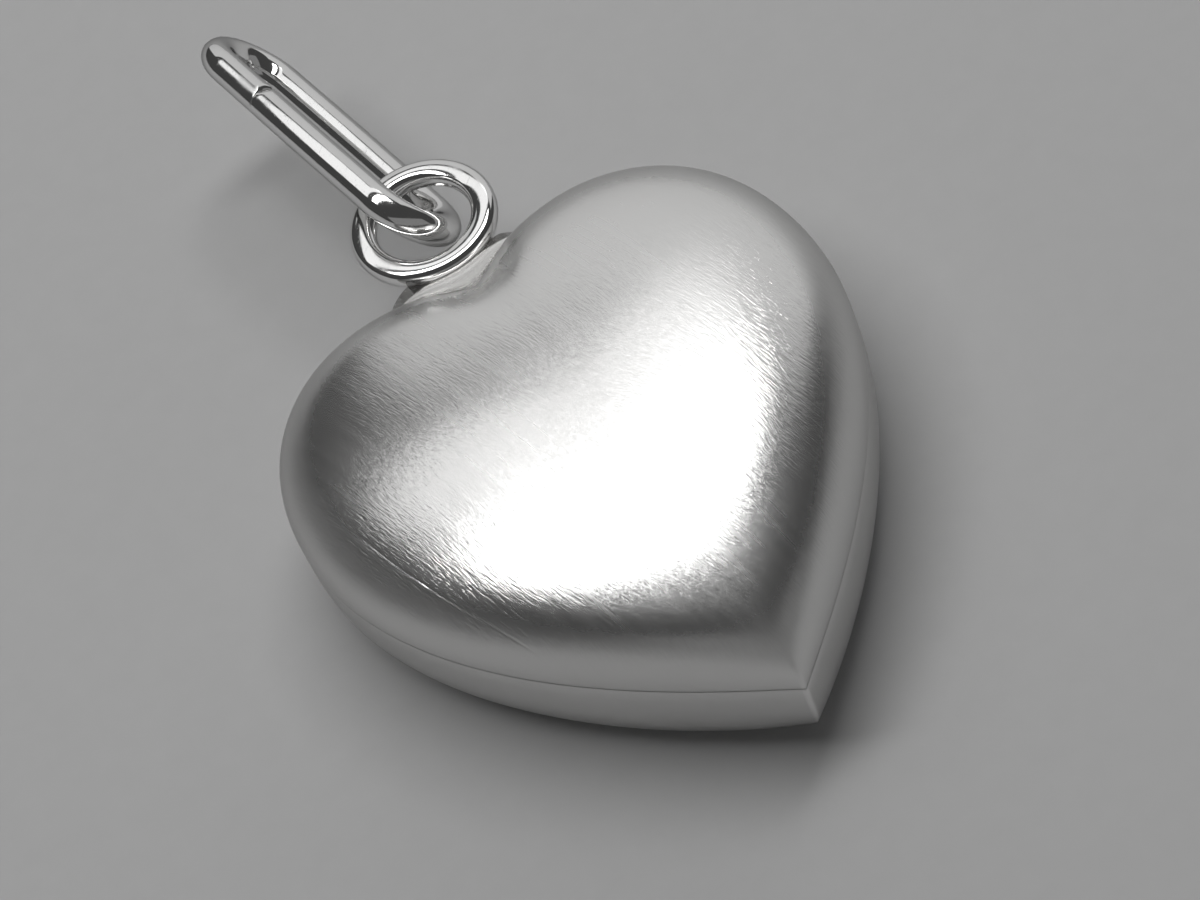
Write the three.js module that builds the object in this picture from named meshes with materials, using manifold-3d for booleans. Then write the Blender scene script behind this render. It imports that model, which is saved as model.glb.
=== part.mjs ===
import * as THREE from 'three';
import { mergeVertices } from 'three/addons/utils/BufferGeometryUtils.js';
import Module from 'manifold-3d';

const wasm = await Module();
wasm.setup();

// Hollow silver heart pendant, in millimetres. It lies on its back, as photographed:
// z = 0 is the flat of the back shell, +Z is the front, +Y runs from the tip to the eyelet.

// Heart outline at the seam, measured from the point above the middle of the back's flat
const heartWidth = 15;
const tipDrop = 8.72;
const widestRise = 2.26;
const cleftRise = 6.65;
const cleftDepth = 0.97;
const lobeTopOut = 3.03;
const tipHalfAngle = 49.7;
const cleftHalfAngle = 66;

// Pulls of the outline's curves, along their tangents
const tipPull = 1.67;
const flankPull = 5.48;
const shoulderPull = 3.71;
const lobePullOut = 2.19;
const lobePullIn = 1.73;
const cleftPull = 1.3;

// Domes of the two stamped shells
const sheet = 0.4;
const frontHeight = 3.1;
const backDepth = 2.75;
const frontPower = 2.3;
const backPower = 4.8;
const backFlatShare = 0.6;
const backHollow = 0.01;
const backRimShare = 0.03;
const cleftFadeSpan = 0.65;
const cleftRoundSpan = 0.3;
const creaseSpan = 0.22;
const roundTipSpan = 0.6;
const roundTipPull = 3.2;
const roundTopRise = 0.6;
const roundTopLean = 22;
const valleyPower = 0.35;
const valleyReach = 2.3;

// Solder run round the inside of the seam
const seamBeadHalfHeight = 0.3;
const seamBeadDepth = 0.35;
const solderGap = 0.04;

// Eyelet: a ring of round wire, its ends meeting in the solder at its foot
const eyeletWire = 0.7;
const eyeletBore = 2.54;
const eyeletStand = 0.71;
const eyeletLift = 0.7;
const eyeletOff = 0.14;
const eyeletSplit = 0.06;

// Solder foot that fills the cleft under the eyelet
const footHalfWidth = 1.9;
const footHalfDepth = 0.5;
const footClimb = 0.75;
const footSink = 0.55;
const footBack = 0.1;
const footOff = -0.1;

// Bail: an oval link of round wire, its ends butted on the near leg
const bailWire = 0.88;
const bailOpening = 1.46;
const bailReach = 8.12;
const bailSplit = 0.06;
const bailSplitRise = 1.6;
const bailSlack = 1.15;
const bailPlay = 0.18;
const bailYaw = 6.8;
const bailPitch = 0.6;

// Mesh steps
const curveSteps = 14;
const frontRows = 13;
const backRows = 10;
const eyeletSteps = 54;
const bailBendSteps = 16;
const wireSides = 14;

// Places that follow from the sizes
const seamZ = backDepth;
const frontZ = seamZ + frontHeight;
const lobeTopRise = cleftRise + cleftDepth;
const eyeletZ = seamZ + eyeletLift;
const eyeletMeanRadius = (eyeletBore + eyeletWire) / 2;
const eyeletFootRise = cleftRise + eyeletStand;
const eyeletCentreRise = eyeletFootRise + eyeletWire / 2 + eyeletMeanRadius;
const bailCentreWidth = bailOpening + bailWire;
const bailCentreLength = bailReach + bailWire;
const bailBendOut = eyeletBore / 2 - bailSlack - bailWire / 2;

const rad = THREE.MathUtils.degToRad;
const mix = THREE.MathUtils.lerp;

// Outline of a level of a dome before it is drawn in, moved inwards by inset. At the seam, with share 1,
// it has the cleft and the pointed tip. Further in the cleft turns from a corner into a dip and then fills,
// the lobes' tops lean towards each other, and the tip's crease opens into a round curve.
function heartOutline(inset, share) {
  const shrink = 1 - inset / (heartWidth / 2);
  const fade = THREE.MathUtils.smoothstep(1 - share, 0, cleftFadeSpan);
  const soften = THREE.MathUtils.smoothstep(1 - share, 0, cleftRoundSpan);
  const crease = Math.sin(rad(90) * Math.min((1 - share) / creaseSpan, 1));
  const widen = THREE.MathUtils.smoothstep(1 - share, 0, roundTipSpan);
  const tipAngle = rad(mix(tipHalfAngle, 88, crease));
  const cleftAngle = rad(mix(cleftHalfAngle, 90, soften));
  const tip = new THREE.Vector2(0, -tipDrop + inset / Math.sin(rad(tipHalfAngle)));
  const side = new THREE.Vector2(heartWidth / 2 - inset, widestRise);
  const top = new THREE.Vector2(lobeTopOut, lobeTopRise - inset);
  const openCleft = mix(cleftRise, lobeTopRise + roundTopRise, fade);
  const cleft = new THREE.Vector2(0, openCleft - inset / Math.sin(rad(cleftHalfAngle)));
  const pulled = (from, angle, pull) => new THREE.Vector2(
    from.x + pull * shrink * Math.sin(angle),
    from.y + pull * shrink * Math.cos(angle),
  );
  const tipTangent = pulled(tip, tipAngle, mix(tipPull, roundTipPull, widen));
  const cleftTangent = pulled(cleft, cleftAngle, cleftPull);
  const topAngle = Math.PI / 2 + rad(roundTopLean) * fade;
  const curves = [
    new THREE.CubicBezierCurve(tip, tipTangent, pulled(side, Math.PI, flankPull), side),
    new THREE.CubicBezierCurve(side, pulled(side, 0, shoulderPull), pulled(top, topAngle, lobePullOut), top),
    new THREE.CubicBezierCurve(top, pulled(top, topAngle, -lobePullIn), cleftTangent, cleft),
  ];
  const right = [];
  for (const curve of curves) {
    right.push(...curve.getPoints(curveSteps).slice(0, -1));
  }
  const left = [cleft, ...right.slice(1).reverse()].map((p) => new THREE.Vector2(-p.x, p.y));
  return [...right, ...left];
}

// One level of a dome: the outline drawn in to a share of its size, a little further near the cleft
function domeLoop(inset, share, z) {
  return heartOutline(inset, share).map((p) => {
    const nearCleft = p.y > widestRise ? Math.exp(-((p.x / valleyReach) ** 2)) : 0;
    const drawn = share ** (1 + valleyPower * nearCleft * share ** 3);
    return new THREE.Vector3(p.x * drawn, p.y * drawn, z);
  });
}

// Loops of the front dome from the seam up, steep at the seam and gently domed in the middle
function frontLoops(inset) {
  const loops = [];
  for (let i = 0; i < frontRows; i += 1) {
    const share = Math.cos(rad((84 * i) / (frontRows - 1)));
    const height = (frontHeight - inset) * (1 - share ** 2) ** (1 / frontPower);
    loops.push(domeLoop(inset, share, seamZ + height));
  }
  return loops;
}

// Loops of the back from the seam down to its flat
function backLoops(inset) {
  const loops = [];
  const span = 1 - backFlatShare ** backPower;
  for (let i = 0; i < backRows; i += 1) {
    const drop = Math.sin(rad((90 * i) / (backRows - 1))) ** (2 / backPower);
    const share = Math.max(1 - span * drop ** backPower, backFlatShare ** backPower) ** (1 / backPower);
    loops.push(domeLoop(inset, share, seamZ - (backDepth - inset) * drop));
  }
  return loops;
}

// Outside of the back. Its flat draws a little hollow in stamping, so the heart stands on the flat's rim.
function standingLoops() {
  return [...backLoops(0), domeLoop(0, backFlatShare - backRimShare, backHollow)];
}

// Closed skin through loops of equal length, each end closed by a fan to a middle point at its own height.
// Facets are split as mirror images on the two halves of a loop.
function skin(loops, startZ, endZ) {
  const count = loops[0].length;
  const points = loops.flat();
  const faces = [];
  for (let row = 0; row + 1 < loops.length; row += 1) {
    for (let i = 0; i < count; i += 1) {
      const j = (i + 1) % count;
      const a = row * count + i;
      const b = row * count + j;
      const c = a + count;
      const d = b + count;
      faces.push(...(i < count / 2 ? [a, b, d, a, d, c] : [a, b, c, b, d, c]));
    }
  }
  const start = points.length;
  const last = start - count;
  points.push(new THREE.Vector3(0, 0, startZ), new THREE.Vector3(0, 0, endZ));
  for (let i = 0; i < count; i += 1) {
    const j = (i + 1) % count;
    faces.push(start, j, i);
    faces.push(start + 1, last + i, last + j);
  }
  return meshFrom(points, faces);
}

// Closed band through loops of equal length whose last loop joins the first
function band(loops) {
  const count = loops[0].length;
  const faces = [];
  for (let row = 0; row < loops.length; row += 1) {
    const next = (row + 1) % loops.length;
    for (let i = 0; i < count; i += 1) {
      const j = (i + 1) % count;
      faces.push(row * count + i, row * count + j, next * count + j);
      faces.push(row * count + i, next * count + j, next * count + i);
    }
  }
  return meshFrom(loops.flat(), faces);
}

// Geometry from points and faces, turned right side out by the sign of its volume
function meshFrom(points, faces) {
  let volume = 0;
  for (let k = 0; k < faces.length; k += 3) {
    const [a, b, c] = [points[faces[k]], points[faces[k + 1]], points[faces[k + 2]]];
    volume += a.dot(b.clone().cross(c)) / 6;
  }
  const order = volume < 0 ? faces.toReversed() : faces;
  const geometry = new THREE.BufferGeometry();
  geometry.setFromPoints(points);
  geometry.setIndex(order);
  geometry.computeVertexNormals();
  return geometry;
}

// Round wire along flat path stations, each with its point and its direction in the XY plane
function wire(stations, diameter) {
  const points = [];
  const faces = [];
  for (const { point, direction } of stations) {
    const across = new THREE.Vector3(direction.y, -direction.x, 0);
    for (let k = 0; k < wireSides; k += 1) {
      const angle = (2 * Math.PI * k) / wireSides;
      const spoke = across.clone().multiplyScalar((diameter / 2) * Math.cos(angle));
      points.push(point.clone().add(spoke).add(new THREE.Vector3(0, 0, (diameter / 2) * Math.sin(angle))));
    }
  }
  for (let row = 0; row + 1 < stations.length; row += 1) {
    for (let k = 0; k < wireSides; k += 1) {
      const a = row * wireSides + k;
      const b = row * wireSides + (k + 1) % wireSides;
      faces.push(a, b, b + wireSides, a, b + wireSides, a + wireSides);
    }
  }
  const last = (stations.length - 1) * wireSides;
  for (let k = 1; k + 1 < wireSides; k += 1) {
    faces.push(0, k + 1, k);
    faces.push(last, last + k, last + k + 1);
  }
  return meshFrom(points, faces);
}

// Stations of an arc about a centre, from one angle to another
function arc(centreX, centreY, radius, from, to, steps) {
  const stations = [];
  const turn = Math.sign(to - from);
  for (let i = 0; i <= steps; i += 1) {
    const angle = rad(mix(from, to, i / steps));
    stations.push({
      point: new THREE.Vector3(centreX + radius * Math.cos(angle), centreY + radius * Math.sin(angle), 0),
      direction: new THREE.Vector3(-Math.sin(angle) * turn, Math.cos(angle) * turn, 0),
    });
  }
  return stations;
}

// Eyelet wire of a given thickness, split at its foot and laid at its height over the seam
function eyeletGeometry(diameter) {
  const halfSplit = THREE.MathUtils.radToDeg(eyeletSplit / 2 / eyeletMeanRadius);
  const ring = wire(arc(0, 0, eyeletMeanRadius, -90 + halfSplit, 270 - halfSplit, eyeletSteps), diameter);
  return ring.translate(eyeletOff, eyeletCentreRise, eyeletZ);
}

// Bail: two straight legs and two half-round bends, from one side of the butt round to the other.
// It is rolled about its length until one leg lies over the eyelet's wire and the other under it.
function bailGeometry() {
  const bendRadius = bailCentreWidth / 2;
  const legHalf = bailCentreLength / 2 - bendRadius;
  const upwards = new THREE.Vector3(0, 1, 0);
  const nearLeg = (y) => ({ point: new THREE.Vector3(-bendRadius, y, 0), direction: upwards });
  const stations = [
    nearLeg(bailSplitRise + bailSplit / 2),
    ...arc(0, legHalf, bendRadius, 180, 0, bailBendSteps),
    ...arc(0, -legHalf, bendRadius, 0, -180, bailBendSteps),
    nearLeg(bailSplitRise - bailSplit / 2),
  ];
  const roll = Math.asin((bailWire + eyeletWire + 2 * bailPlay) / bailCentreWidth);
  const turn = new THREE.Euler(rad(bailPitch), roll, rad(bailYaw), 'ZXY');
  const lie = new THREE.Matrix4().makeRotationFromEuler(turn);
  const link = wire(stations, bailWire).translate(0, bailBendOut + bailCentreLength / 2, 0);
  return link.applyMatrix4(lie).translate(eyeletOff, eyeletCentreRise, eyeletZ);
}

function solidOf(geometry) {
  const plain = geometry.clone();
  plain.deleteAttribute('normal');
  plain.deleteAttribute('uv');
  const merged = mergeVertices(plain, 1e-5);
  return new wasm.Manifold(new wasm.Mesh({
    numProp: 3,
    vertProperties: new Float32Array(merged.attributes.position.array),
    triVerts: new Uint32Array(merged.index.array),
  }));
}

function geometryOf(solid) {
  const mesh = solid.getMesh();
  const geometry = new THREE.BufferGeometry();
  geometry.setAttribute('position', new THREE.BufferAttribute(new Float32Array(mesh.vertProperties), 3));
  geometry.setIndex(new THREE.BufferAttribute(new Uint32Array(mesh.triVerts), 1));
  geometry.computeVertexNormals();
  return geometry;
}

// Solder foot: a drop lying in the cleft, cut to the two domes and to the eyelet with the solder gap,
// and kept outside the middle circle of the eyelet's wire
function footGeometry() {
  const low = cleftRise - footSink;
  const high = eyeletFootRise + footClimb;
  const drop = new THREE.SphereGeometry(1, 36, 24).scale(footHalfWidth, (high - low) / 2, footHalfDepth);
  drop.translate(footOff, (low + high) / 2, eyeletZ - footBack);
  const bore = new THREE.CylinderGeometry(eyeletMeanRadius, eyeletMeanRadius, 4 * footHalfDepth, eyeletSteps);
  bore.rotateX(Math.PI / 2).translate(eyeletOff, eyeletCentreRise, eyeletZ);
  const loops = [...backLoops(-solderGap).toReversed(), ...frontLoops(-solderGap).slice(1)];
  const heart = solidOf(skin(loops, -solderGap, frontZ + solderGap));
  const ring = solidOf(eyeletGeometry(eyeletWire + 2 * solderGap));
  return geometryOf(solidOf(drop).subtract(heart).subtract(ring).subtract(solidOf(bore)));
}

// Seam solder: a three-cornered bead against the inside of both shells
function beadGeometry() {
  const wall = sheet + solderGap;
  const loop = (inset, z) => heartOutline(inset, 1).map((p) => new THREE.Vector3(p.x, p.y, z));
  return band([
    loop(wall, seamZ - seamBeadHalfHeight),
    loop(wall, seamZ + seamBeadHalfHeight),
    loop(wall + seamBeadDepth, seamZ),
  ]);
}

const satin = { color: 0xc9c9cb, roughness: 0.42, metalness: 1 };
const polished = { color: 0xdedee0, roughness: 0.12, metalness: 1 };
const solder = { color: 0xcfcfcf, roughness: 0.22, metalness: 1 };

const pieces = {
  front_shell: [skin([...frontLoops(sheet).toReversed(), ...frontLoops(0)], frontZ - sheet, frontZ), satin],
  back_shell: [skin([...backLoops(sheet).toReversed(), ...standingLoops()], sheet, backHollow), satin],
  seam_solder: [beadGeometry(), solder],
  eyelet: [eyeletGeometry(eyeletWire), polished],
  eyelet_solder: [footGeometry(), solder],
  bail: [bailGeometry(), polished],
};

const pendant = new THREE.Group();
pendant.name = 'heart_pendant';
for (const [name, [geometry, finish]] of Object.entries(pieces)) {
  const mesh = new THREE.Mesh(geometry, new THREE.MeshStandardMaterial(finish));
  mesh.name = name;
  pendant.add(mesh);
}

export default pendant;
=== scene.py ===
import bpy
import numpy as np
from mathutils import Matrix


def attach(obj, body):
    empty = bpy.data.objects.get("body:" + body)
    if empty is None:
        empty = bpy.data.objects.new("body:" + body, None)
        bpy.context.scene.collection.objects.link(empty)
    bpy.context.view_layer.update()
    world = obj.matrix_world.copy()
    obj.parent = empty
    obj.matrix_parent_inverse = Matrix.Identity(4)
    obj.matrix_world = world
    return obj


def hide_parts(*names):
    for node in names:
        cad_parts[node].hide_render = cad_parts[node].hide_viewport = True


# Hollow silver heart pendant: pieces, finishes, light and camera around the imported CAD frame.
# Sizes are in millimetres, those of the floor and the lamps in metres.
mm = 0.001

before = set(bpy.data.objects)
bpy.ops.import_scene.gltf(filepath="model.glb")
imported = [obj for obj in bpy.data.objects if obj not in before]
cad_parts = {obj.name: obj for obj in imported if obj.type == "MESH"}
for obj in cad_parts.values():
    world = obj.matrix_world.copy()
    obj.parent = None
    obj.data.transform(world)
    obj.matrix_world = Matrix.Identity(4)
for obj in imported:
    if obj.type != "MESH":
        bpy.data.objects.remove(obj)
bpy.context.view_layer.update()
print("stage: frame loaded,", ", ".join(sorted(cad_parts)))


# Shader maths: a node output that can be used in plain arithmetic
class Wire:
    def __init__(self, tree, socket=None):
        self.tree = tree
        self.socket = socket

    # any node: its type, its settings, then the values or links of its sockets
    def node(self, kind, settings=None, inputs=None, output=0):
        made = self.tree.nodes.new(kind)
        for name, value in (settings or {}).items():
            setattr(made, name, value)
        for name, value in (inputs or {}).items():
            if isinstance(value, Wire):
                self.tree.links.new(value.socket, made.inputs[name])
            else:
                made.inputs[name].default_value = value
        return Wire(self.tree, made.outputs[output])

    def math(self, operation, first, second):
        return self.node("ShaderNodeMath", {"operation": operation}, {0: first, 1: second})

    def __add__(self, other):
        return self.math("ADD", self, other)

    def __radd__(self, other):
        return self.math("ADD", other, self)

    def __sub__(self, other):
        return self.math("SUBTRACT", self, other)

    def __rsub__(self, other):
        return self.math("SUBTRACT", other, self)

    def __mul__(self, other):
        return self.math("MULTIPLY", self, other)

    def __rmul__(self, other):
        return self.math("MULTIPLY", other, self)

    def __truediv__(self, other):
        return self.math("DIVIDE", self, other)

    # soft step from 0 below low to 1 above high
    def rise(self, low, high):
        return self.node("ShaderNodeMapRange", {"interpolation_type": "SMOOTHSTEP"},
                         {"Value": self, "From Min": low, "From Max": high})

    # bell that is 1 at the middle: 1 / e raised to the square of the distance over the width
    def bell(self, middle, width):
        gap = (self - middle) / width
        return self.math("POWER", np.exp(-1), gap * gap)


# new material with a metal shader; edge is how much light the metal gives back at a grazing angle, set low so that
# the rims turn dark: painted shade at the rims
def metalMaterial(name, edge):
    material = bpy.data.materials.new(name)
    material.use_nodes = True
    tree = material.node_tree
    shader = tree.nodes["Principled BSDF"]
    shader.inputs["Metallic"].default_value = 1
    # a low edge paints the metal darker at grazing angles: painted shade along the rims
    shader.inputs["Specular Tint"].default_value = (edge, edge, edge, 1)
    start = Wire(tree)
    place = start.node("ShaderNodeTexCoord", output="Object")
    return material, shader, start, place


def plug(shader, socket, value):
    shader.id_data.links.new(value.socket, shader.inputs[socket])


# fine relief: a height of 1 stands the given depth above the surface
def plugRelief(shader, start, depth, height):
    plug(shader, "Normal", start.node("ShaderNodeBump", inputs={
        "Strength": 1.0, "Distance": depth * mm, "Height": height}))


# noise whose cells are stretched to the given lengths, turned about Z by an angle in degrees
def grain(start, place, cell, angle=0, detail=2.0, rough=0.5):
    turned = start.node("ShaderNodeMapping", {"vector_type": "TEXTURE"}, {
        "Vector": place, "Rotation": (0, 0, np.radians(angle)), "Scale": tuple(mm * c for c in cell)})
    return start.node("ShaderNodeTexNoise", {"noise_dimensions": "3D"}, {
        "Vector": turned, "Scale": 1, "Detail": detail, "Roughness": rough})


# grey that leans slightly warm or cool, as a colour
def tint(start, level, shade):
    return start.node("ShaderNodeCombineColor", inputs={
        "Red": level * shade[0], "Green": level * shade[1], "Blue": level * shade[2]})


# Brushed satin silver: short strokes along the heart's length on the face, smoother on the side walls, whose colour
# is painted darker than the face's as painted shade
satin = {
    "shade": (1.0, 0.995, 0.985),
    "edge": 0.55,
    "wallTop": (4.1, 4.6),  # heights between which the wall turns into the face
    "bright": 0.88,
    # the walls' colour, lower than the face's: painted shade on the walls
    "shadedWallBright": 0.76,
    "faceRough": 0.26,
    "wallRough": 0.40,
    "brushTop": (3.5, 4.3),  # heights between which the strokes set in
    "lobeSpan": (2.2, 4.8),  # way up the heart over which they ease, by lobeEase
    "lobeEase": 0.75,
    "wallStroke": 0.15,
    "brushAngle": -80,
    "lineCell": (0.32, 0.05, 0.32),
    "lineDepth": 0.007,
    "lineShade": 0.10,
    "strandCell": (0.3, 0.045, 0.3),
    "strandTurn": 4,
    "strandSpan": (0.45, 0.80),
    "strandShare": 0.4,
    "broadCell": (5.0, 0.22, 1.5),
    "broadRough": 0.08,
    "broadShare": 0.5,
    "cloudCell": (3.5, 3.5, 3.5),
    "cloudShade": 0.05,
    "cloudRough": 0.06,
    "seamZ": 2.75,
    "seamWidth": 0.05,
    "seamShade": 0.08,
    "scratchPath": (-6.0585, -0.2274, 0.0286),
    "scratchWidth": 0.024,
    "scratchStart": (-4.6, -3.6),
    "scratchEnd": (0.6, 1.6),
    "scratchShare": 0.8,
}


def satinSilver():
    s = satin
    material, shader, start, place = metalMaterial("satinSilver", s["edge"])
    x, y, z = [start.node("ShaderNodeSeparateXYZ", inputs={"Vector": place}, output=axis) / mm
               for axis in "XYZ"]
    face = z.rise(*s["wallTop"])
    # the brush leaves the walls alone and presses less on the tops of the lobes
    brushed = z.rise(*s["brushTop"]) * (1 - s["lobeEase"] * y.rise(*s["lobeSpan"]))
    lines = grain(start, place, s["lineCell"], s["brushAngle"], rough=0.55)
    strands = grain(start, place, s["strandCell"], s["brushAngle"] + s["strandTurn"]).rise(*s["strandSpan"])
    broad = grain(start, place, s["broadCell"], s["brushAngle"])
    cloud = grain(start, place, s["cloudCell"], detail=3.0, rough=0.55)
    seam = z.bell(s["seamZ"], s["seamWidth"])
    # one long scratch on the left flank, along a parabola x(y), fading out at both ends
    first, second, third = s["scratchPath"]
    scratch = (x - (first + second * y + third * y * y)).bell(0, s["scratchWidth"])
    scratch = scratch * y.rise(*s["scratchStart"]) * (1 - y.rise(*s["scratchEnd"]))
    # the side walls get a darker colour than the face: painted shade on the walls
    level = s["shadedWallBright"] + (s["bright"] - s["shadedWallBright"]) * face + s["cloudShade"] * (cloud - 0.5)
    level = level + s["lineShade"] * brushed * (lines - 0.5) - s["seamShade"] * seam
    plug(shader, "Base Color", tint(start, level, s["shade"]))
    rough = s["wallRough"] + (s["faceRough"] - s["wallRough"]) * face
    rough = rough + s["broadRough"] * face * (broad - 0.5) + s["cloudRough"] * (cloud - 0.5)
    plug(shader, "Roughness", rough)
    strokes = (lines - s["strandShare"] * strands) * (s["wallStroke"] + (1 - s["wallStroke"]) * brushed)
    height = strokes + s["broadShare"] * broad - s["scratchShare"] * scratch
    plugRelief(shader, start, s["lineDepth"], height)
    return material


# Polished silver wire: mirror finish with soft waviness and fine handling scratches
polish = {
    "shade": (1.0, 0.997, 0.99),
    "edge": 0.45,
    "bright": 0.88,
    "rough": 0.07,
    "waveCell": (1.3, 1.3, 1.3),
    "waveDepth": 0.006,
    "scratchCell": (0.9, 0.03, 0.03),
    "scratchAngle": 35,
    "scratchSpan": (0.60, 0.78),
    "scratchShade": 0.06,
    "scratchRough": 0.08,
    "scratchShare": 0.05,
    "cloudCell": (0.8, 0.8, 0.8),
    "cloudSpan": (0.5, 0.75),
    "cloudShade": 0.05,
    "cloudRough": 0.10,
}


def polishedSilver():
    p = polish
    material, shader, start, place = metalMaterial("polishedSilver", p["edge"])
    wave = grain(start, place, p["waveCell"], detail=1.0, rough=0.4)
    scratch = grain(start, place, p["scratchCell"], p["scratchAngle"], rough=0.6).rise(*p["scratchSpan"])
    cloud = grain(start, place, p["cloudCell"], detail=3.0, rough=0.6)
    level = p["bright"] + p["cloudShade"] * (cloud - 0.5) - p["scratchShade"] * scratch
    plug(shader, "Base Color", tint(start, level, p["shade"]))
    worn = p["cloudRough"] * cloud.rise(*p["cloudSpan"]) + p["scratchRough"] * scratch
    plug(shader, "Roughness", p["rough"] + worn)
    plugRelief(shader, start, p["waveDepth"], wave - p["scratchShare"] * scratch)
    return material


# Solder: bright but a little duller than the wire, with a flowed, lumpy skin
flow = {
    "shade": (1.0, 0.99, 0.97),
    "edge": 0.6,
    "bright": 0.86,
    "rough": 0.22,
    "lumpCell": (0.45, 0.45, 0.45),
    "lumpDepth": 0.002,
    "lumpShade": 0.06,
    "speckCell": (0.06, 0.06, 0.06),
    "speckSpan": (0.62, 0.75),
    "speckShade": 0.04,
    "speckRough": 0.08,
}


def flowedSolder():
    f = flow
    material, shader, start, place = metalMaterial("flowedSolder", f["edge"])
    lump = grain(start, place, f["lumpCell"])
    speck = grain(start, place, f["speckCell"], rough=0.6)
    level = f["bright"] + f["lumpShade"] * (lump - 0.5) - f["speckShade"] * speck.rise(*f["speckSpan"])
    plug(shader, "Base Color", tint(start, level, f["shade"]))
    plug(shader, "Roughness", f["rough"] + f["speckRough"] * speck)
    plugRelief(shader, start, f["lumpDepth"], lump)
    return material


satinFinish = satinSilver()
polishFinish = polishedSilver()
solderFinish = flowedSolder()
print("stage: finishes made")


# Mesh object from points in millimetres and lists of faces, smooth shaded and turned right side out:
# the sum of each triangle's triple product gives the volume, and a negative one turns every face round
def addPiece(name, points, faces, finish, body, node):
    triangles = [f[:, :3] for f in faces] + [f[:, [0, 2, 3]] for f in faces if f.shape[1] == 4]
    corners = points[np.concatenate(triangles)]
    volume = np.einsum("ij,ij->", corners[:, 0], np.cross(corners[:, 1], corners[:, 2]))
    faceList = sum(((f if volume > 0 else f[:, ::-1]).tolist() for f in faces), [])
    mesh = bpy.data.meshes.new(name)
    mesh.from_pydata((points * mm).tolist(), [], faceList)
    mesh.polygons.foreach_set("use_smooth", np.ones(len(faceList), bool))
    mesh.materials.append(finish)
    mesh.update()
    piece = bpy.data.objects.new(name, mesh)
    bpy.context.scene.collection.objects.link(piece)
    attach(piece, body)
    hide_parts(node)
    print("stage:", name, len(faceList), "faces")


# quads between neighbouring rows of a grid whose columns close on themselves
def gridQuads(rows, columns):
    index = np.arange(rows * columns).reshape(rows, columns)
    after = np.roll(index, -1, axis=1)
    return np.stack([index[:-1], after[:-1], after[1:], index[1:]], axis=-1).reshape(-1, 4)


# triangles from one middle point to every edge of a closed row
def fan(middle, first, columns):
    row = first + np.arange(columns)
    return np.stack([np.full(columns, middle), row, np.roll(row, -1)], axis=-1)


# a grid closed at its first and its last row by a fan to their own middle points, which follow the grid's points
def closedGrid(rows, columns):
    total = rows * columns
    return [gridQuads(rows, columns), fan(total, 0, columns)[:, ::-1], fan(total + 1, total - columns, columns)]


# 3 t squared less 2 t cubed, t being the value's share of the span
def smoothStep(value, span):
    t = np.clip(value / span, 0, 1)
    return t * t * (3 - 2 * t)


heart = {
    "width": 15, "tipDrop": 8.72, "widestRise": 2.26, "cleftRise": 6.65, "cleftDepth": 0.97,
    "lobeTopOut": 3.03, "tipHalfAngle": 49.7, "cleftHalfAngle": 66,
    "tipPull": 1.67, "flankPull": 5.48, "shoulderPull": 3.71,
    "lobePullOut": 2.19, "lobePullIn": 1.73, "cleftPull": 1.3,
    "sheet": 0.4, "frontHeight": 3.1, "backDepth": 2.75, "frontPower": 2.3, "backPower": 4.8,
    "backFlatShare": 0.6, "backSpread": 1.8, "cleftFadeSpan": 0.65, "cleftRoundSpan": 0.3, "creaseSpan": 0.22,
    "openTipAngle": 88, "openCleftAngle": 90, "roundTipSpan": 0.6, "roundTipPull": 3.2,
    "roundTopRise": 0.6, "roundTopLean": 22, "valleyPower": 0.35, "valleyReach": 2.3,
    "rimRound": 0.035, "rimRows": 5, "columns": 40, "innerRows": 14,
    "frontRows": 64, "frontStart": 1.2, "frontEnd": 87, "backRows": 40, "backStart": 0.08,
}


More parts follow.
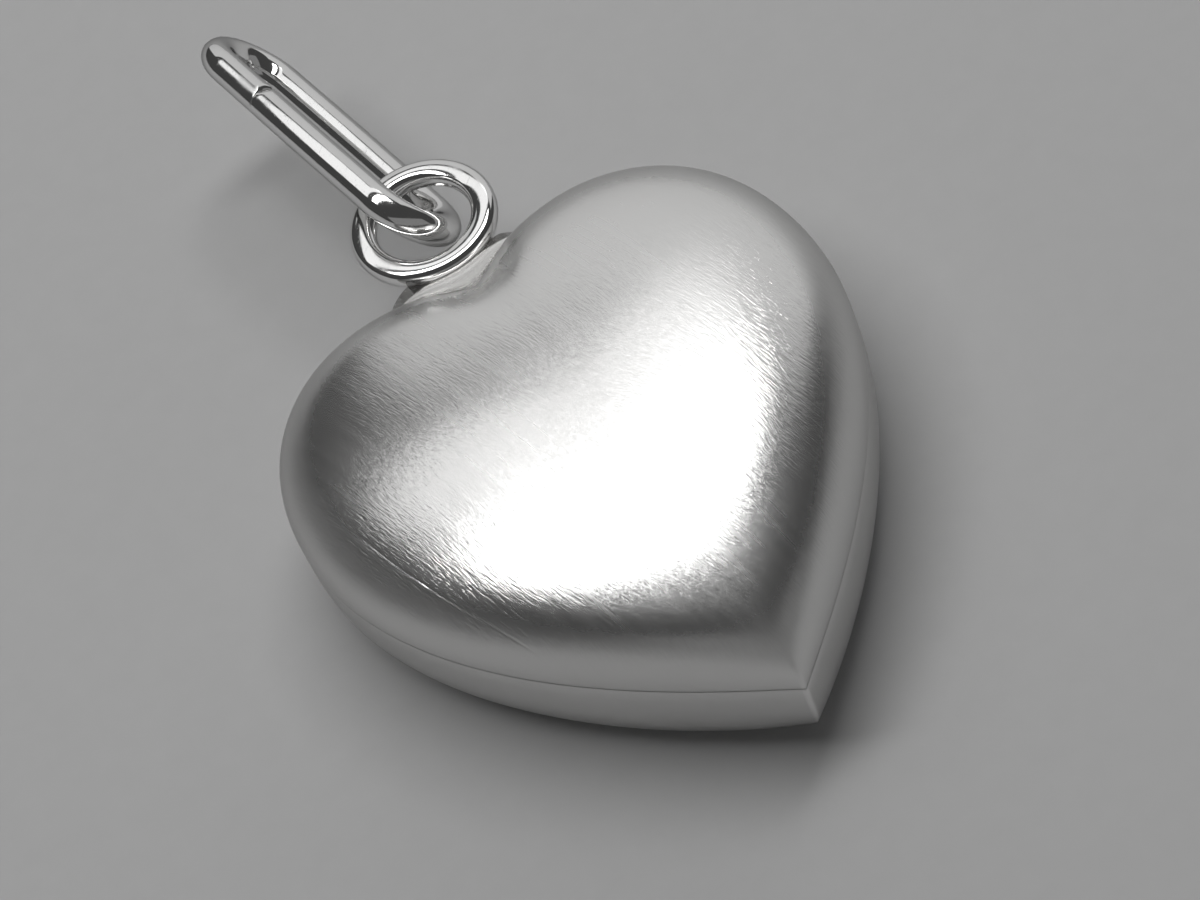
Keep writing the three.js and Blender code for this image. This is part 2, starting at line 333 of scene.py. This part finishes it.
# Right half of the outline at each level: three cubic Bezier curves tip to side, side to lobe top, lobe top to
# cleft. The levels are shares of the seam outline; away from the seam the tip opens and the cleft fills.
def halfOutline(share, inset, steps):
    h = heart
    share, inset = np.broadcast_arrays(np.asarray(share, float), np.asarray(inset, float))
    zero = np.zeros_like(share)
    shrink = 1 - inset / (h["width"] / 2)
    fade = smoothStep(1 - share, h["cleftFadeSpan"])
    soften = smoothStep(1 - share, h["cleftRoundSpan"])
    crease = np.sin(np.pi / 2 * np.clip((1 - share) / h["creaseSpan"], 0, 1))
    widen = smoothStep(1 - share, h["roundTipSpan"])
    tipAngle = np.radians(h["tipHalfAngle"] + (h["openTipAngle"] - h["tipHalfAngle"]) * crease)
    cleftAngle = np.radians(h["cleftHalfAngle"] + (h["openCleftAngle"] - h["cleftHalfAngle"]) * soften)
    lean = np.radians(h["roundTopLean"]) * fade
    lobeTop = h["cleftRise"] + h["cleftDepth"]
    tip = np.stack([zero, -h["tipDrop"] + inset / np.sin(np.radians(h["tipHalfAngle"]))], -1)
    side = np.stack([h["width"] / 2 - inset, zero + h["widestRise"]], -1)
    top = np.stack([zero + h["lobeTopOut"], lobeTop - inset], -1)
    openCleft = h["cleftRise"] + (lobeTop + h["roundTopRise"] - h["cleftRise"]) * fade
    cleft = np.stack([zero, openCleft - inset / np.sin(np.radians(h["cleftHalfAngle"]))], -1)

    def pulled(point, angle, pull):
        reach = pull * shrink
        return point + np.stack([reach * np.sin(angle), reach * np.cos(angle)], -1)

    tipPull = h["tipPull"] + (h["roundTipPull"] - h["tipPull"]) * widen
    level = np.pi / 2 + lean
    curves = [
        (tip, pulled(tip, tipAngle, tipPull), pulled(side, np.pi, h["flankPull"]), side),
        (side, pulled(side, 0, h["shoulderPull"]), pulled(top, level, h["lobePullOut"]), top),
        (top, pulled(top, level, -h["lobePullIn"]), pulled(cleft, cleftAngle, h["cleftPull"]), cleft),
    ]
    t = (np.arange(steps) / steps)[:, None]
    runs = [(1 - t) ** 3 * a[..., None, :] + 3 * (1 - t) ** 2 * t * b[..., None, :]
            + 3 * (1 - t) * t ** 2 * c[..., None, :] + t ** 3 * d[..., None, :] for a, b, c, d in curves]
    return np.concatenate(runs + [cleft[..., None, :]], axis=-2)


# the outline drawn in to its share of the seam outline, a little further near the cleft
def drawIn(points, share):
    h = heart
    share = np.asarray(share, float)[..., None]
    x, y = points[..., 0], points[..., 1]
    near = np.where(y > h["widestRise"], np.exp(-(x / h["valleyReach"]) ** 2), 0)
    drawn = share ** (1 + h["valleyPower"] * near * share ** 3)
    return points * drawn[..., None]


# closed loops at the given shares, insets and heights: the half outline and its mirror image
def domeLoops(share, inset, z):
    half = drawIn(halfOutline(share, inset, heart["columns"]), share)
    left = half[:, -2:0:-1] * np.array([-1, 1])
    flat = np.concatenate([half, left], axis=1)
    up = np.broadcast_to(np.asarray(z, float)[:, None, None], flat.shape[:2] + (1,))
    return np.concatenate([flat, up], axis=2)


# front dome: height over the seam is frontHeight times (1 - share squared) to the power 1 / frontPower
def frontLoops(inset, rows, first):
    h = heart
    share = np.cos(np.radians(np.linspace(first, h["frontEnd"], rows)))
    rise = (h["frontHeight"] - inset) * (1 - share ** 2) ** (1 / h["frontPower"])
    return domeLoops(share, np.full(rows, inset), h["backDepth"] + rise)


# back: the depth's power and the share's power add up so that the wall is upright and turns into a flat
def backLoops(inset, rows, first):
    h = heart
    turn = np.radians(90) * np.linspace(first, 1, rows) ** h["backSpread"]
    share = (1 - (1 - h["backFlatShare"] ** h["backPower"]) * np.sin(turn) ** 2) ** (1 / h["backPower"])
    drop = (h["backDepth"] - inset) * np.sin(turn) ** (2 / h["backPower"])
    return domeLoops(share, np.full(rows, inset), h["backDepth"] - drop)


# rounded rim of a shell at the seam: a quarter circle from the flat of the joint to the wall
def rimLoops(direction):
    h = heart
    turn = np.radians(np.linspace(0, 90, h["rimRows"]))
    inset = h["rimRound"] * (1 - np.sin(turn))
    z = h["backDepth"] + direction * h["rimRound"] * (1 - np.cos(turn))
    return domeLoops(np.ones(h["rimRows"]), inset, z)


# a shell is one skin: inner face from its middle to the rim, round the rim, and the outer face to its middle
def addShell(name, inner, rim, outer, innerZ, outerZ, node):
    loops = np.concatenate([inner[::-1], rim, outer])
    middles = np.array([[0, 0, innerZ], [0, 0, outerZ]])
    points = np.concatenate([loops.reshape(-1, 3), middles])
    addPiece(name, points, closedGrid(*loops.shape[:2]), satinFinish, "heart", node)


frontTop = heart["backDepth"] + heart["frontHeight"]
addShell("frontShell", frontLoops(heart["sheet"], heart["innerRows"], 0), rimLoops(1),
         frontLoops(0, heart["frontRows"], heart["frontStart"]), frontTop - heart["sheet"], frontTop, "front_shell")
addShell("backShell", backLoops(heart["sheet"], heart["innerRows"], 0), rimLoops(-1),
         backLoops(0, heart["backRows"], heart["backStart"]), heart["sheet"], 0, "back_shell")


eyelet = {
    "wire": 0.7, "bore": 2.54, "off": 0.14, "rise": 9.33, "z": 3.45, "steps": 180, "sides": 40,
    "facePower": 2.6, "faceHeight": 0.84, "faceScale": 0.978,
}


# A circle of wire soldered shut. Its round section is pressed a little flat: cosine and sine are raised to
# 2 / facePower, and the sine is lowered. The quads run one row past the end, and the remainder closes them on
# the first row.
def addEyelet():
    e = eyelet
    mean = (e["bore"] + e["wire"]) / 2
    angle = np.linspace(0, 2 * np.pi, e["steps"], endpoint=False)
    turn = np.linspace(0, 2 * np.pi, e["sides"], endpoint=False)

    def press(value):
        return np.sign(value) * np.abs(value) ** (2 / e["facePower"])

    radius = e["wire"] / 2 * e["faceScale"]
    out = mean + radius * press(np.cos(turn))
    up = radius * e["faceHeight"] * press(np.sin(turn))
    ring = np.stack([np.outer(np.cos(angle), out), np.outer(np.sin(angle), out),
                     np.outer(np.ones(e["steps"]), up)], -1)
    points = ring.reshape(-1, 3) + np.array([e["off"], e["rise"], e["z"]])
    faces = [gridQuads(e["steps"] + 1, e["sides"]) % len(points)]
    addPiece("eyeletRing", points, faces, polishFinish, "heart", "eyelet")


addEyelet()


bail = {
    "wire": 0.88, "opening": 1.46, "reach": 8.12, "split": 0.012, "splitRise": 1.6, "bendOut": -0.32,
    "play": 0.18, "yaw": 6.8, "pitch": 0.6, "bow": 0.03, "endRound": 0.02,
    "nick": 0.2, "nickAngle": 118, "nickPower": 6,
    "steps": 320, "sides": 44, "endSteps": 12, "endTurn": 4.5, "endReach": 0.6,
}


# An oval of wire: up the near leg from the butt joint, over the far bend, down the other leg, round the
# eyelet's end and back up to the joint. The run's length picks the stretch that a station lies on, and stations
# crowd towards the joint as 1 - cosine. Both legs bow outward by (1 - share squared) squared, share being the way
# from the leg's middle to its end.
def bailPath():
    b = bail
    bend = (b["opening"] + b["wire"]) / 2
    half = (b["reach"] + b["wire"]) / 2 - bend
    gap = b["split"] / 2
    lengths = np.array([half - b["splitRise"] - gap, np.pi * bend, 2 * half, np.pi * bend,
                        half + b["splitRise"] - gap])
    starts = np.concatenate([[0], np.cumsum(lengths)])
    near = b["endReach"] * (1 - np.cos(np.radians(b["endTurn"]) * np.arange(b["endSteps"])))
    run = np.unique(np.concatenate([np.linspace(0, starts[-1], b["steps"]), near, starts[-1] - near]))
    stretch = np.clip(np.searchsorted(starts, run, side="right") - 1, 0, 4)
    on = run - starts[stretch]
    topTurn = np.pi - on / bend
    footTurn = -on / bend
    y = np.choose(stretch, [b["splitRise"] + gap + on, half + bend * np.sin(topTurn), half - on,
                            -half + bend * np.sin(footTurn), -half + on])
    bowed = bend + b["bow"] * (1 - (y / half) ** 2) ** 2
    lean = 4 * b["bow"] * y / half ** 2 * (1 - (y / half) ** 2)
    x = np.choose(stretch, [-bowed, bend * np.cos(topTurn), bowed, bend * np.cos(footTurn), -bowed])
    dx = np.choose(stretch, [lean, np.sin(topTurn), lean, np.sin(footTurn), lean])
    dy = np.choose(stretch, [0 * on + 1, -np.cos(topTurn), 0 * on - 1, -np.cos(footTurn), 0 * on + 1])
    fromEnd = np.minimum(run, starts[-1] - run)
    direction = np.stack([dx, dy], -1) / np.hypot(dx, dy)[:, None]
    return np.stack([x, y], -1), direction, fromEnd


# round wire carried along a flat path: each station has a point, a direction and a radius for every side
def wirePoints(path, direction, radius, angle):
    across = np.stack([direction[:, 1], -direction[:, 0]], -1)
    flat = path[:, None, :] + across[:, None, :] * (radius * np.cos(angle))[..., None]
    return np.concatenate([flat, (radius * np.sin(angle))[..., None]], axis=2)


# The wire's two ends are rounded off as quarter ellipses, deeper towards the worn nick at nickAngle. The link is
# then rolled about its length until its legs clear the eyelet's wire, and laid at its pitch and yaw.
def addBail():
    b = bail
    path, direction, fromEnd = bailPath()
    angle = np.linspace(0, 2 * np.pi, b["sides"], endpoint=False)
    facing = np.maximum(np.cos(angle - np.radians(b["nickAngle"])), 0) ** b["nickPower"]
    reach = b["endRound"] + b["nick"] * facing
    worn = np.clip(1 - fromEnd[:, None] / reach, 0, 1)
    radius = b["wire"] / 2 - reach * (1 - np.sqrt(1 - worn ** 2))
    link = wirePoints(path, direction, radius, angle)
    ends = np.concatenate([path[[0, -1]], np.zeros((2, 1))], axis=1)
    points = np.concatenate([link.reshape(-1, 3), ends])
    points[:, 1] += b["bendOut"] + (b["reach"] + b["wire"]) / 2
    roll = np.arcsin((b["wire"] + eyelet["wire"] + 2 * b["play"]) / (b["opening"] + b["wire"]))
    turn = Matrix.Rotation(np.radians(b["yaw"]), 3, "Z") @ Matrix.Rotation(np.radians(b["pitch"]), 3, "X")
    turn = np.array(turn @ Matrix.Rotation(roll, 3, "Y"))
    points = points @ turn.T + np.array([eyelet["off"], eyelet["rise"], eyelet["z"]])
    addPiece("bailLink", points, closedGrid(len(path), b["sides"]), polishFinish,
             "bail", "bail")


addBail()


foot = {
    "middle": -0.12, "halfWidth": 1.85, "sweep": 0.985, "climb": 0.95, "atRing": 0.22, "atHeart": 0.6,
    "spreadPower": 5, "taperPower": 0.3, "edgeStart": 0.72, "gap": 0.012, "fillet": 0.6, "foldPower": 4,
    "leastSquare": 0.01, "steps": 84, "rows": 26, "under": 12,
}


# height of the heart's own surface at the cleft over any point across and along its thickness: the level of
# that height gives a share, the outline of that share gives the rise at the point's distance from the middle
def cleftSurface(x, z):
    h = heart
    up = np.clip((z - h["backDepth"]) / h["frontHeight"], 0, 1)
    down = np.clip((h["backDepth"] - z) / h["backDepth"], 0, 1)
    span = 1 - h["backFlatShare"] ** h["backPower"]
    share = np.where(z > h["backDepth"], np.sqrt(1 - up ** h["frontPower"]),
                     (1 - span * down ** h["backPower"]) ** (1 / h["backPower"]))
    steps = h["columns"]
    half = drawIn(halfOutline(share, 0 * share, steps), share)[..., 2 * steps:, :]
    across, rise = half[..., 0], half[..., 1]
    before = np.clip((across > np.abs(x)[..., None]).sum(-1) - 1, 0, steps - 1)

    def pick(values, index):
        return np.take_along_axis(values, index[..., None], -1)[..., 0]

    x0, x1 = pick(across, before), pick(across, before + 1)
    y0, y1 = pick(rise, before), pick(rise, before + 1)
    return y0 + (y1 - y0) * np.clip((np.abs(x) - x0) / (x1 - x0), 0, 1)


# Solder foot: a web in the ring's plane between the heart and the middle of the ring's wire. Its half thickness
# grows from the ring to the heart with a power of the way down, its upper edge is rounded off as an ellipse, and
# height and thickness taper to nothing at the two ends of the saddle. Over its sole it fills the fold of the cleft.
def addFoot():
    f, e = foot, eyelet
    mean = (e["bore"] + e["wire"]) / 2
    turn = np.linspace(-1, 1, f["steps"])[:, None]
    x = f["middle"] + f["halfWidth"] * np.sin(turn * np.pi / 2 * f["sweep"])
    fromEnd = 1 - ((x - f["middle"]) / f["halfWidth"]) ** 2
    up = np.linspace(0, 1, f["rows"])[None, :]
    overEdge = np.maximum(up - f["edgeStart"], 0) / (1 - f["edgeStart"])
    edge = np.sqrt(np.clip(1 - overEdge ** 2, 0, 1))
    spread = f["atRing"] + (f["atHeart"] - f["atRing"]) * (1 - up) ** f["spreadPower"]
    thick = spread * edge * fromEnd ** f["taperPower"]
    wireLine = e["rise"] - np.sqrt(np.maximum(mean ** 2 - (x - e["off"]) ** 2, f["leastSquare"]))

    def face(side):
        sole = cleftSurface(x, e["z"] + side * thick[:, :1]) + f["gap"]
        soft = cleftSurface(np.hypot(x, f["fillet"]), e["z"] + side * thick[:, :1]) + f["gap"]
        rise = np.clip(wireLine - soft, 0, f["climb"]) * fromEnd
        lift = sole + (soft - sole) * (1 - (1 - up) ** f["foldPower"])
        return np.stack([x + 0 * up, lift + rise * up, e["z"] + side * thick], -1)

    front, back = face(1), face(-1)
    across = np.linspace(-1, 1, f["under"])[None, 1:-1]
    soleZ = e["z"] + across * thick[:, :1]
    wide = np.broadcast_to(x, soleZ.shape)
    sole = np.stack([wide, cleftSurface(wide, soleZ) + f["gap"], soleZ], -1)
    loops = np.concatenate([front, back[:, ::-1][:, 1:], sole], axis=1)
    points = np.concatenate([loops.reshape(-1, 3), loops[[0, -1]].mean(1)])
    addPiece("eyeletFoot", points, closedGrid(*loops.shape[:2]), solderFinish, "heart", "eyelet_solder")


addFoot()

# the solder run inside the seam keeps its CAD shape
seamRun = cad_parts["seam_solder"].data.materials
seamRun.clear()
seamRun.append(solderFinish)


# Pale floor with a faint fibre, large enough to reach the horizon of a low view
floorLook = {
    "radius": 3.0, "level": 0.50, "speckle": 0.03, "fibreCell": (0.8, 0.8, 0.8), "rough": 0.9, "gloss": 0.2,
}


def addFloor():
    look = floorLook
    size = look["radius"]
    mesh = bpy.data.meshes.new("floor")
    mesh.from_pydata([(-size, -size, 0), (size, -size, 0), (size, size, 0), (-size, size, 0)], [], [(0, 1, 2, 3)])
    material = bpy.data.materials.new("paleFloor")
    material.use_nodes = True
    start = Wire(material.node_tree)
    shader = material.node_tree.nodes["Principled BSDF"]
    place = start.node("ShaderNodeTexCoord", output="Object")
    fibre = grain(start, place, look["fibreCell"], detail=4.0, rough=0.6)
    plug(shader, "Base Color", tint(start, look["level"] + look["speckle"] * (fibre - 0.5), (1, 1, 1)))
    shader.inputs["Roughness"].default_value = look["rough"]
    shader.inputs["Specular IOR Level"].default_value = look["gloss"]
    mesh.materials.append(material)
    floor = bpy.data.objects.new("floor", mesh)
    bpy.context.scene.collection.objects.link(floor)


addFloor()


# Soft lamps: each a panel aimed at the heart from a distance along a direction. Its width runs the way of "along",
# level is its brightness. The key makes the wide gleam on the dome, the strip the white lines on the wire, the
# back panel lights the lobes, and the near card the views from behind.
lamps = {
    "keyPanel": {"towards": (0.0, 0.27, 0.96), "along": (0.99, 0.11, 0), "distance": 0.20,
                 "size": (0.268, 0.05), "level": 6.0},
    "legStrip": {"towards": (0.0, 0.60, 0.80), "along": (1, 0, 0), "distance": 0.60,
                 "size": (0.82, 0.125), "level": 0.95},
    "backPanel": {"towards": (0.53, 0.76, 0.37), "along": (0.82, -0.57, 0), "distance": 0.35,
                  "size": (0.50, 0.28), "level": 0.50},
    "nearCard": {"towards": (0.0, -0.93, 0.36), "along": (1, 0, 0), "distance": 0.50,
                 "size": (1.60, 0.38), "level": 0.15},
}
surround = 0.05


def addLamp(name, lamp):
    light = bpy.data.lights.new(name, "AREA")
    light.shape = "RECTANGLE"
    light.size, light.size_y = lamp["size"]
    light.energy = lamp["level"] * np.pi * light.size * light.size_y
    towards = np.array(lamp["towards"]) / np.linalg.norm(lamp["towards"])
    right = lamp["along"] - towards * np.dot(lamp["along"], towards)
    right /= np.linalg.norm(right)
    place = np.eye(4)
    place[:3, :3] = np.stack([right, np.cross(towards, right), towards], axis=1)
    place[:3, 3] = towards * lamp["distance"]
    holder = bpy.data.objects.new(name, light)
    holder.matrix_world = Matrix(place.tolist())
    holder.visible_camera = False
    bpy.context.scene.collection.objects.link(holder)


for lampName, lampLook in lamps.items():
    addLamp(lampName, lampLook)

world = bpy.data.worlds.new("studio")
world.use_nodes = True
world.node_tree.nodes["Background"].inputs["Color"].default_value = (surround, surround, surround, 1)
bpy.context.scene.world = world


# Camera at the photograph's angle: turned in the heart's plane, tipped away from its normal, then moved back.
# The lens shows pixelsPerMm at that distance, and the shift sets the aim at its place in the photograph's frame.
view = {
    "tipDirection": 24.3, "tip": 37.79, "turn": 37.05, "distance": 120, "pixelsPerMm": 40.55,
    "centre": (614.66, 463.21), "frame": (1200, 900), "aimZ": 2.75, "sensor": 36, "clipStart": 5,
}


def addCamera():
    v = view
    width, height = v["frame"]

    def spin(angle, axis):
        return np.array(Matrix.Rotation(np.radians(angle), 3, axis))

    tip = spin(v["tipDirection"], "Z") @ spin(-v["tip"], "X") @ spin(-v["tipDirection"], "Z")
    axes = (tip @ spin(v["turn"], "Z")).T
    place = np.eye(4)
    place[:3, :3] = axes
    place[:3, 3] = mm * (v["distance"] * axes[:, 2] + np.array([0, 0, v["aimZ"]]))
    lens = bpy.data.cameras.new("photoCamera")
    lens.sensor_width = v["sensor"]
    lens.lens = v["sensor"] * v["pixelsPerMm"] * v["distance"] / width
    lens.shift_x = (width / 2 - v["centre"][0]) / width
    lens.shift_y = (v["centre"][1] - height / 2) / width
    lens.clip_start = v["clipStart"] * mm
    holder = bpy.data.objects.new("photoCamera", lens)
    holder.matrix_world = Matrix(place.tolist())
    bpy.context.scene.collection.objects.link(holder)
    bpy.context.scene.camera = holder


addCamera()
bpy.context.scene.view_settings.view_transform = "Standard"
print("stage: floor, lamps and camera set")
